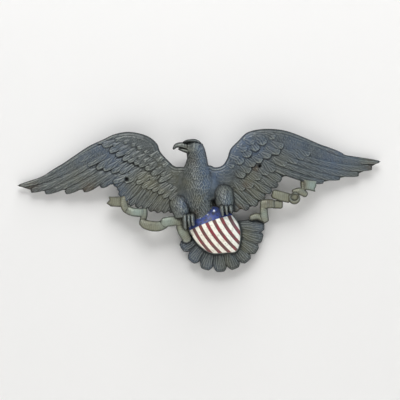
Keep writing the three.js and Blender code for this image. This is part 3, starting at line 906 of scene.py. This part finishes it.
def lay_ribbon(relief):
    marks = [("ribbon", 1)]
    for end in RIBBON_ENDS:
        corners = end["outline"] + end["outline"][:1]
        window = relief.window(corners, 10)
        x, z = relief.x[window], relief.z[window]
        inside = polygon_inside(end["outline"], x, z)
        weave = 0.3 * engraved((x + 0.2 * z) / 3.9 + relief.wobble[window], 0.3) * smoothstep(1, 3, inside)
        front = end["front"] + 1.2 * np.sin((x + 0.4 * z) / 6) + weave
        relief.lay(window, inside, front, end["front"] - RIBBON_THICKNESS + 0 * x, over=2.0, marks=marks)
    for band in RIBBON_BANDS:
        curve = Spine(band["spine"])
        window = relief.window(curve.line, max(band["half"]) + 10)
        x, z = relief.x[window], relief.z[window]
        t, offset, along, past = curve.project(x, z)
        width = ramp(band["half"])(t)
        ends = band.get("ends", (2, 2))
        rounding = np.where(t < 0.5, ends[0], ends[1])
        across, beyond = width - np.abs(offset), -past
        square = np.minimum(across, beyond)
        corner = rounding - np.hypot(np.maximum(rounding - across, 0), np.maximum(rounding - beyond, 0))
        inside = np.where((across < rounding) & (beyond < rounding), corner, square)
        s = np.clip(offset / width, -1.2, 1.2)
        level = ramp(band["front"])(t)
        weave = 0.3 * engraved(along / 3.9 + 0.25 * s + relief.wobble[window], 0.3)
        front = level + 2.4 * (1 - s * s) + 0.5 * np.sin(along / 6 + 2 * s) + weave * smoothstep(1, 3, inside)
        relief.lay(window, inside, front, level - RIBBON_THICKNESS, over=2.2, skirt=4, marks=marks)
    window = relief.window([CURL_CENTRE], CURL_RADIUS + 10)
    x, z = relief.x[window] - CURL_CENTRE[0], relief.z[window] - CURL_CENTRE[1]
    r = np.hypot(x, z)
    cup = np.hypot(x / 1.15, z - 2.2)
    lip = 1.6 * bump(cup - 8.2, 1.2) * smoothstep(3, -3, z)
    roll = 35 - 3.2 * smoothstep(8.4, 6.6, cup) + 0.22 * z + lip
    relief.lay(window, CURL_RADIUS - r, roll, 20 + 0 * x, over=3, skirt=6, marks=[("ribbon", 1), ("curl", 1)])


def polygon_inside(corners, x, z):
    """Signed distance in from a straight-sided outline."""
    p = np.array(corners, float)
    q = np.roll(p, -1, axis=0)
    gap = np.full(x.shape, 1e9)
    winding = np.zeros(x.shape, bool)
    for (ax, az), (bx, bz) in zip(p, q):
        dx, dz = bx - ax, bz - az
        w = np.clip(((x - ax) * dx + (z - az) * dz) / (dx * dx + dz * dz), 0, 1)
        gap = np.minimum(gap, np.hypot(x - ax - w * dx, z - az - w * dz))
        crosses = ((az > z) != (bz > z)) & (x < (bx - ax) * (z - az) / np.where(dz == 0, 1e-9, dz) + ax)
        winding ^= crosses
    return np.where(winding, gap, -gap)


BACK_PAD = [
    (-58, 20), (-40, 34), (-20, 36), (0, 30), (24, 16), (40, -20), (46, -70), (40, -110), (10, -128),
    (-20, -120), (-44, -96), (-60, -50),
]


def lay_pad(relief):
    """Flat core that rests on the wall, drafted all round, behind the body and the tail."""
    window = relief.window(BACK_PAD, 14)
    x, z = relief.x[window], relief.z[window]
    inside = polygon_inside(BACK_PAD, x, z)
    relief.back[window] = np.minimum(relief.back[window], np.maximum(-inside, 0) * 3)


def drill(relief):
    """Bosses behind the fixing holes, and the holes with their countersinks."""
    for hole in FIXING_HOLES:
        wing = LEFT if hole[0] < 0 else RIGHT
        window = relief.window([hole], BOSS_DIAMETER)
        r = np.hypot(relief.x[window] - hole[0], relief.z[window] - hole[1])
        face = wing_ground(wing, np.array(float(hole[0])), np.array(float(hole[1]))) + ROW_STEP
        boss = np.maximum(r - BOSS_DIAMETER / 2, 0) * 9
        relief.back[window] = np.minimum(relief.back[window], boss)
        flare = SINK_DEPTH / ((SINK_DIAMETER - HOLE_DIAMETER) / 2)
        sink = face - SINK_DEPTH + (r - HOLE_DIAMETER / 2) * flare
        relief.front[window] = np.minimum(relief.front[window], np.maximum(sink, face - SINK_DEPTH - 6))
        relief.inside[window] = np.minimum(relief.inside[window], r - HOLE_DIAMETER / 2)
        relief.mark("hole", window, bump(r - HOLE_DIAMETER / 2, 2.5))


def build_relief():
    relief = Relief()
    relief.wobble = 0.35 * noise(relief, 14, 3) + 0.15 * noise(relief, 5, 4)
    lay_tail(relief)
    lay_ribbon(relief)
    for wing in (LEFT, RIGHT):
        lay_wing(relief, wing)
    lay_shield(relief)
    lay_body(relief)
    lay_head(relief)
    lay_feet(relief)
    lay_face(relief)
    lay_pad(relief)
    drill(relief)
    weight = (relief.inside > -0.4).astype(float)
    relief.front = np.where(weight > 0, blur(relief.front, 0.45, weight), relief.front)
    relief.back = np.where(weight > 0, blur(relief.back, 1.1, weight), relief.back)
    grain = 0.10 * noise(relief, 2.2, 11) + 0.07 * noise(relief, 4.5, 12) + 0.12 * noise(relief, 11, 13)
    smooth = np.maximum(relief.marks["shield"], relief.marks.get("beak", 0))
    relief.front += grain * (1 - 0.6 * smooth)
    relief.back = np.minimum(relief.back, relief.front - 2.2)
    relief.back = np.where(relief.back < 0.3, 0, relief.back)
    return relief


def contour_mesh(relief):
    """Closed mesh between the two height fields, with its outline cut where inside is zero."""
    inside = relief.inside.copy()
    snap = 0.12 * STEP
    inside = np.where(np.abs(inside) < snap, np.where(inside >= 0, snap, -snap), inside)
    filled = inside > 0
    nx, nz = inside.shape
    ids = np.full(inside.shape, -1)
    ids[filled] = np.arange(filled.sum())
    points = [np.stack([relief.x[filled], relief.z[filled], relief.front[filled], relief.back[filled]], 1)]
    count = len(points[0])

    def cut(a, b, offset):
        """Points where the outline crosses the grid's edges from the nodes a to the nodes b."""
        crosses = filled[a] != filled[b]
        share = inside[a][crosses] / (inside[a][crosses] - inside[b][crosses])
        place = []
        for field in (relief.x, relief.z):
            place.append(lerp(field[a][crosses], field[b][crosses], share))
        own = filled[a][crosses]
        for field in (relief.front, relief.back):
            place.append(np.where(own, field[a][crosses], field[b][crosses]))
        made = np.full(crosses.shape, -1)
        made[crosses] = offset + np.arange(crosses.sum())
        return made, np.stack(place, 1)

    along, more = cut((slice(0, -1), slice(None)), (slice(1, None), slice(None)), count)
    points.append(more)
    count += len(more)
    up, more = cut((slice(None), slice(0, -1)), (slice(None), slice(1, None)), count)
    points.append(more)

    corner = [ids[:-1, :-1], ids[1:, :-1], ids[1:, 1:], ids[:-1, 1:]]
    side = [along[:, :-1], up[1:, :], along[:, 1:], up[:-1, :]]
    kind = sum((corner[k] >= 0).astype(int) << k for k in range(4))
    faces = []
    for case in range(1, 16):
        here = kind == case
        if not here.any():
            continue
        ring = []
        for k in range(4):
            if case >> k & 1:
                ring.append(corner[k][here])
            if (case >> k & 1) != (case >> (k + 1) % 4 & 1):
                ring.append(side[k][here])
        if case in (5, 10):
            # Two corners that face each other: each keeps its own small triangle.
            first = 0 if case == 5 else 1
            for k in (first, first + 2):
                faces.append(np.stack([corner[k][here], side[k][here], side[(k + 3) % 4][here]], 1))
            continue
        for k in range(1, len(ring) - 1):
            faces.append(np.stack([ring[0], ring[k], ring[k + 1]], 1))
    faces = np.vstack(faces)
    points = np.vstack(points)
    used, index = np.unique(faces, return_inverse=True)
    faces = index.reshape(faces.shape)
    points = points[used]
    total = len(points)

    edges = np.vstack([faces[:, (0, 1)], faces[:, (1, 2)], faces[:, (2, 0)]])
    key = edges.min(1).astype(np.int64) * total + edges.max(1)
    _, first, times = np.unique(key, return_index=True, return_counts=True)
    rim = edges[first[times == 1]]
    walls = np.vstack(
        [
            np.stack([rim[:, 1], rim[:, 0], rim[:, 0] + total], 1),
            np.stack([rim[:, 1], rim[:, 0] + total, rim[:, 1] + total], 1),
        ]
    )
    front = np.stack([points[:, 0], -points[:, 2], points[:, 1]], 1)
    back = np.stack([points[:, 0], -points[:, 3], points[:, 1]], 1)
    return np.vstack([front, back]), np.vstack([faces, faces[:, ::-1] + total, walls])


def mesh_object(name, points, faces):
    mesh = bpy.data.meshes.new(name)
    mesh.vertices.add(len(points))
    mesh.vertices.foreach_set("co", (points * MM).astype(np.float32).ravel())
    mesh.loops.add(faces.size)
    mesh.loops.foreach_set("vertex_index", faces.astype(np.int32).ravel())
    mesh.polygons.add(len(faces))
    mesh.polygons.foreach_set("loop_start", np.arange(0, faces.size, 3, dtype=np.int32))
    mesh.update(calc_edges=True)
    made = bpy.data.objects.new(name, mesh)
    bpy.context.scene.collection.objects.link(made)
    return made


def apply_modifiers(piece):
    graph = bpy.context.evaluated_depsgraph_get()
    mesh = bpy.data.meshes.new_from_object(piece.evaluated_get(graph))
    old = piece.data
    piece.modifiers.clear()
    piece.data = mesh
    bpy.data.meshes.remove(old)
    mesh.name = piece.name


def sample(relief, field, x, z):
    """Values of a grid field at plan points."""
    u = np.clip((x - relief.xs[0]) / STEP, 0, len(relief.xs) - 1.001)
    v = np.clip((z - relief.zs[0]) / STEP, 0, len(relief.zs) - 1.001)
    i, j = u.astype(int), v.astype(int)
    a, b = u - i, v - j
    return lerp(lerp(field[i, j], field[i + 1, j], a), lerp(field[i, j + 1], field[i + 1, j + 1], a), b)


def paint_fields(relief):
    """Fields that the material reads: grime with painted shade in the hollows and along the outline, wear with painted
    highlight on the high points, tints and painted areas.
    """
    weight = (relief.inside > 0).astype(float)
    front = relief.front
    near = blur(front, 1.2, weight) - front
    wide = blur(front, 4.0, weight) - front
    fields = {**relief.marks, **relief.fields}
    # Painted shade, partly grime: darker in the hollows and in a band along the rounded outline.
    hollow = 0.8 * smoothstep(0.02, 0.4, near) + 0.6 * smoothstep(0.3, 2.4, wide)
    rim = 0.9 * smoothstep(3.6, 1.0, relief.inside)
    fields["grime_and_shade"] = np.clip(np.maximum(hollow, rim), 0, 1)
    # Painted highlight, partly wear: lighter on the ridges and high points.
    ridge = 0.8 * smoothstep(0.02, 0.35, -near) + 0.4 * smoothstep(0.3, 2.0, -wide)
    fields["wear_and_highlight"] = np.clip(ridge - rim, 0, 1)
    return fields


# Soft areas on the old paint, as (x, z, radius, strength): the first list is painted bluish sheen, the others are tints
# of the paint itself
COOL_SHEEN = [
    (-22, 84, 15, 1.0), (-19, 62, 14, 1.0), (-15, 40, 16, 1.0), (-17, 12, 15, 0.9), (-22, -12, 13, 0.6),
    (5, 34, 20, 0.9), (22, 52, 18, 0.9), (40, 80, 22, 1.0), (66, 98, 24, 1.0), (92, 88, 24, 0.9),
    (60, 66, 20, 0.7), (120, 80, 26, 0.6), (170, 88, 32, 0.6), (250, 66, 34, 0.7), (290, 58, 22, 0.7),
    (-212, 68, 32, 0.8), (-240, 92, 26, 0.8), (-268, 62, 26, 0.7), (-310, 40, 30, 0.5), (-203, 2, 24, 0.8),
    (-186, -18, 15, 0.8), (-63, -28, 14, 0.9), (30, -22, 14, 0.9), (-178, 42, 22, 0.5),
    (-50, -144, 24, 0.7), (-63, -118, 16, 0.7), (0, -166, 16, 0.6), (92, -80, 18, 0.5),
]
OLIVE = [
    (-133, 12, 42, 1.0), (-102, -12, 32, 1.0), (-86, 26, 22, 0.9), (-120, 44, 24, 0.6), (-292, 20, 44, 0.6),
    (48, -14, 26, 0.9), (88, -6, 28, 0.9), (78, 24, 22, 0.9), (128, 24, 22, 0.6), (140, 62, 26, 0.5),
    (68, -95, 24, 1.0), (60, -120, 26, 1.0), (32, -148, 24, 0.8), (-28, -22, 16, 0.9), (-57, 12, 14, 0.8),
    (-56, 84, 12, 0.6), (300, 40, 24, 0.5), (320, 62, 18, 0.5),
]
BROWN = [
    (8, -34, 8, 0.9), (56, -43, 10, 1.0), (-38, -50, 8, 0.9), (88, 46, 8, 0.8), (70, 8, 10, 0.7),
    (-262, 2, 16, 0.6), (335, 52, 14, 0.6), (-388, 12, 22, 0.5), (-238, 112, 16, 0.4), (-44, 58, 10, 0.3),
    (115, -25, 9, 0.9), (-146, -60, 9, 0.8), (190, 12, 6, 0.9), (-120, -50, 14, 0.3), (250, 84, 14, 0.4),
]
MINT = [(-158, -46, 18, 1.0), (-96, -64, 20, 0.9), (208, 10, 12, 1.0), (-66, -90, 12, 0.5), (106, -52, 8, 0.6)]


def tint(areas, x, z):
    value = np.zeros(x.shape)
    for ax, az, radius, strength in areas:
        value = np.maximum(value, strength * np.exp(-((x - ax) ** 2 + (z - az) ** 2) / radius**2))
    return value


relief = build_relief()
points, faces = contour_mesh(relief)
plaque = mesh_object("eagle", points, faces)
print("raw mesh", len(points), "points", len(faces), "faces")
reduce = plaque.modifiers.new("reduce", "DECIMATE")
reduce.ratio = min(1, FACES / len(faces))
apply_modifiers(plaque)
print("mesh", len(plaque.data.polygons), "faces")

mesh = plaque.data
mesh.polygons.foreach_set("use_smooth", np.ones(len(mesh.polygons), bool))
mesh.set_sharp_from_angle(angle=math.radians(62))

co = np.zeros(len(mesh.vertices) * 3, np.float32)
mesh.vertices.foreach_get("co", co)
co = co.reshape(-1, 3) / MM
surface = sample(relief, relief.front, co[:, 0], co[:, 2])
on_front = smoothstep(2.5, 1.2, surface + co[:, 1])
for name, field in paint_fields(relief).items():
    value = sample(relief, field, co[:, 0], co[:, 2])
    if name in ("grime_and_shade", "wear_and_highlight", "star", "hole", "shield"):
        value = value * on_front
    layer = mesh.attributes.new(name, "FLOAT", "POINT")
    layer.data.foreach_set("value", value.astype(np.float32))
# The cool areas are painted bluish sheen; olive, brown and mint are tints of the paint.
for name, areas in (("cool_sheen", COOL_SHEEN), ("olive", OLIVE), ("brown", BROWN), ("mint", MINT)):
    layer = mesh.attributes.new(name, "FLOAT", "POINT")
    layer.data.foreach_set("value", tint(areas, co[:, 0], co[:, 2]).astype(np.float32))

def paint(red, green, blue):
    """Linear colour of a paint chip given in screen values."""
    return tuple((c / 255 / 12.92 if c < 11 else ((c / 255 + 0.055) / 1.055) ** 2.4) for c in (red, green, blue)) + (1,)


class Graph:
    """Short forms for the shader nodes that the material uses."""

    def __init__(self, name):
        self.material = bpy.data.materials.new(name)
        self.material.use_nodes = True
        self.tree = self.material.node_tree
        self.shader = self.tree.nodes["Principled BSDF"]
        self.space = self.add("TexCoord").outputs["Object"]

    def add(self, kind, **settings):
        node = self.tree.nodes.new("ShaderNode" + kind)
        for name, value in settings.items():
            setattr(node, name, value)
        return node

    def put(self, socket, value):
        if isinstance(value, bpy.types.NodeSocket):
            self.tree.links.new(value, socket)
        else:
            socket.default_value = value

    def attribute(self, name):
        return self.add("Attribute", attribute_name=name).outputs["Fac"]

    def math(self, operation, a, b=0.0):
        node = self.add("Math", operation=operation)
        self.put(node.inputs[0], a)
        self.put(node.inputs[1], b)
        return node.outputs[0]

    def times(self, a, b):
        return self.math("MULTIPLY", a, b)

    def most(self, a, b):
        return self.math("MAXIMUM", a, b)

    def span(self, value, low, high, start=0.0, end=1.0):
        """Smooth step of a value between two levels."""
        node = self.add("MapRange", interpolation_type="SMOOTHSTEP")
        for socket, given in zip(node.inputs, (value, low, high, start, end)):
            self.put(socket, given)
        return node.outputs[0]

    def mix(self, share, a, b):
        node = self.add("Mix", data_type="RGBA")
        for socket, given in zip((node.inputs[0], node.inputs[6], node.inputs[7]), (share, a, b)):
            self.put(socket, given)
        return node.outputs[2]

    def noise(self, scale, detail=3.0, roughness=0.55, shift=0.0):
        place = self.add("VectorMath", operation="ADD")
        self.put(place.inputs[0], self.space)
        place.inputs[1].default_value = (shift, shift, shift)
        node = self.add("TexNoise")
        self.put(node.inputs["Vector"], place.outputs[0])
        for name, value in (("Scale", scale), ("Detail", detail), ("Roughness", roughness)):
            node.inputs[name].default_value = value
        return node.outputs["Fac"]


SLATE = paint(80, 86, 88)
SHADE = paint(56, 62, 64)
# Dark for painted shade, partly grime, in hollows and along the outline
GRIME_AND_SHADE = paint(18, 21, 20)
# Light for painted highlight, partly bare worn metal, on ridges
BARE_AND_HIGHLIGHT = paint(150, 156, 150)
# Bluish colour of a painted sheen
COOL_SHEEN = paint(76, 92, 114)
OLIVE = paint(94, 94, 77)
BROWN = paint(84, 68, 48)
RIBBON_PALE = paint(124, 124, 104)
RIBBON_MINT = paint(142, 156, 146)
WHITE = paint(246, 243, 230)
STAINED = paint(206, 200, 178)
RED = paint(138, 52, 60)
MAROON = paint(100, 66, 62)
BLUE = paint(44, 66, 138)
NAVY = paint(34, 42, 66)
STAR_WHITE = paint(232, 240, 250)


def casting_material():
    """Old paint over metal: slate with painted bluish sheen and olive areas, grime with painted shade in hollows and
    along the outline, worn ridges with painted highlight, and a painted shield.
    """
    g = Graph("patina")
    broad, patchy, fine = g.noise(28, 3), g.noise(90, 4, shift=3), g.noise(420, 4, 0.6, shift=7)
    grime_and_shade, wear_and_highlight = g.attribute("grime_and_shade"), g.attribute("wear_and_highlight")
    colour = g.mix(g.span(patchy, 0.4, 0.66), SLATE, SHADE)
    # Painted bluish sheen over the cool areas
    colour = g.mix(g.times(g.attribute("cool_sheen"), g.span(patchy, 0.25, 0.6, 0.35, 0.95)), colour, COOL_SHEEN)
    colour = g.mix(g.times(g.attribute("olive"), g.span(broad, 0.3, 0.6, 0.3, 0.95)), colour, OLIVE)
    colour = g.mix(g.times(g.attribute("brown"), g.span(patchy, 0.3, 0.6, 0.4, 1)), colour, BROWN)
    pale = g.mix(g.attribute("mint"), RIBBON_PALE, RIBBON_MINT)
    pale = g.mix(g.times(g.attribute("brown"), 0.6), pale, BROWN)
    pale = g.mix(g.span(patchy, 0.5, 0.75, 0, 0.35), pale, SHADE)
    colour = g.mix(g.attribute("ribbon"), colour, pale)
    # Painted highlight, partly bare worn metal, on ridges and high points
    colour = g.mix(g.times(wear_and_highlight, g.span(fine, 0.3, 0.65, 0.25, 0.85)), colour, BARE_AND_HIGHLIGHT)
    # Painted shade, partly grime, in hollows and along the outline
    colour = g.mix(g.times(grime_and_shade, g.span(fine, 0.2, 0.7, 1, 0.7)), colour, GRIME_AND_SHADE)

    chip = g.span(g.noise(260, 4, 0.65, shift=11), 0.62, 0.68)
    stain = g.span(g.noise(150, 3, shift=13), 0.45, 0.7)
    count = g.attribute("stripe")
    share = g.math("FRACT", count)
    red_share = g.times(g.span(share, RED_SHARE - 0.02, RED_SHARE + 0.02, 1, 0), g.span(share, 0, 0.03))
    red_share = g.times(red_share, g.span(count, 0, 0.02))
    red = g.mix(g.span(g.noise(75, 3, shift=17), 0.42, 0.62), MAROON, RED)
    red = g.mix(g.times(chip, 0.5), red, BROWN)
    white = g.mix(g.times(stain, 0.7), WHITE, STAINED)
    white = g.mix(g.times(chip, 0.75), white, SHADE)
    stripes = g.mix(red_share, white, red)
    blue = g.mix(g.span(g.noise(170, 4, 0.6, shift=19), 0.42, 0.64), BLUE, NAVY)
    blue = g.mix(g.span(g.attribute("star"), 0.1, 0.9), blue, STAR_WHITE)
    face = g.mix(g.span(g.attribute("below"), -0.4, 0.4), blue, stripes)
    # Painted shade, partly grime, in the hollows of the shield
    face = g.mix(g.times(grime_and_shade, 0.3), face, GRIME_AND_SHADE)
    shield = g.attribute("shield")
    colour = g.mix(shield, colour, face)
    g.put(g.shader.inputs["Base Color"], colour)

    metal = g.times(g.span(shield, 0, 1, 1, 0), g.span(wear_and_highlight, 0, 1, 0.15, 0.55))
    g.put(g.shader.inputs["Metallic"], metal)
    rough = g.math("ADD", g.span(fine, 0.3, 0.7, 0.34, 0.56), g.times(grime_and_shade, 0.25))
    g.put(g.shader.inputs["Roughness"], rough)
    bump = g.add("Bump")
    bump.inputs["Strength"].default_value = 0.35
    bump.inputs["Distance"].default_value = 0.0005
    g.put(bump.inputs["Height"], g.noise(700, 5, 0.65, shift=23))
    g.put(g.shader.inputs["Normal"], bump.outputs[0])
    return g.material


mesh.materials.append(casting_material())

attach(plaque, "root")
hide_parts("eagle_plaque")

def stage_plane(name, size, location, rotation, colour, one_sided=False):
    bpy.ops.mesh.primitive_plane_add(size=size, location=location, rotation=rotation)
    plane = bpy.context.object
    plane.name = name
    plaster = bpy.data.materials.new(name)
    plaster.use_nodes = True
    tree = plaster.node_tree
    shader = tree.nodes["Principled BSDF"]
    shader.inputs["Base Color"].default_value = colour
    shader.inputs["Roughness"].default_value = 0.9
    if one_sided:
        clear = tree.nodes.new("ShaderNodeBsdfTransparent")
        choose = tree.nodes.new("ShaderNodeMixShader")
        side = tree.nodes.new("ShaderNodeNewGeometry")
        tree.links.new(side.outputs["Backfacing"], choose.inputs[0])
        tree.links.new(shader.outputs[0], choose.inputs[1])
        tree.links.new(clear.outputs[0], choose.inputs[2])
        tree.links.new(choose.outputs[0], tree.nodes["Material Output"].inputs["Surface"])
    plane.data.materials.append(plaster)
    return plane


WALL_GAP = 0.0004
FLOOR = -1.1
wall = stage_plane("wall", 6, (0, WALL_GAP, FLOOR + 3), (math.radians(90), 0, 0), (0.9, 0.9, 0.9, 1), one_sided=True)
floor = stage_plane("floor", 6, (0, WALL_GAP - 3, FLOOR), (0, 0, 0), (0.8, 0.79, 0.77, 1))

# Camera: straight in front, with the photo's framing
PIXELS = 400
MM_PER_PIXEL = 2.117
CENTRE_PIXEL = (213, 190)
DISTANCE = 2.6
camera = bpy.data.objects.new("camera", bpy.data.cameras.new("camera"))
bpy.context.scene.collection.objects.link(camera)
bpy.context.scene.camera = camera
look_x = (PIXELS / 2 - CENTRE_PIXEL[0]) * MM_PER_PIXEL * MM
look_z = -(PIXELS / 2 - CENTRE_PIXEL[1]) * MM_PER_PIXEL * MM
camera.location = (look_x, -DISTANCE, look_z)
camera.rotation_euler = (math.radians(90), 0, 0)
camera.data.sensor_width = 36
camera.data.lens = 36 * DISTANCE / (PIXELS * MM_PER_PIXEL * MM)


def softbox(name, azimuth, elevation, distance, size, power, colour, lit=None):
    """Square light that faces the plaque, or lights only some objects. Azimuth 0 is in front, positive to the right."""
    lamp = bpy.data.objects.new(name, bpy.data.lights.new(name, "AREA"))
    bpy.context.scene.collection.objects.link(lamp)
    a, e = math.radians(azimuth), math.radians(elevation)
    away = (math.sin(a) * math.cos(e), -math.cos(a) * math.cos(e), math.sin(e))
    lamp.location = tuple(distance * c for c in away)
    lamp.rotation_euler = (math.pi / 2 - e, 0, a)
    lamp.data.size = size
    lamp.data.energy = power
    lamp.data.color = colour
    if lit:
        receivers = bpy.data.collections.new(name + " receivers")
        for piece in lit:
            receivers.objects.link(piece)
        lamp.light_linking.receiver_collection = receivers


bpy.context.scene.view_settings.view_transform = "Standard"
world = bpy.data.worlds.new("studio")
bpy.context.scene.world = world
world.use_nodes = True
world.node_tree.nodes["Background"].inputs["Color"].default_value = (0.96, 0.98, 1, 1)
world.node_tree.nodes["Background"].inputs["Strength"].default_value = 0.2
softbox("wall light", 0, 66, 4.4, 3.8, 300, (1, 0.995, 0.985), lit=[wall, floor])
softbox("key", -24, 40, 2.6, 1.2, 52, (1, 0.985, 0.96), lit=[plaque])
softbox("window", 62, 12, 1.9, 0.8, 12, (0.62, 0.78, 1), lit=[plaque])
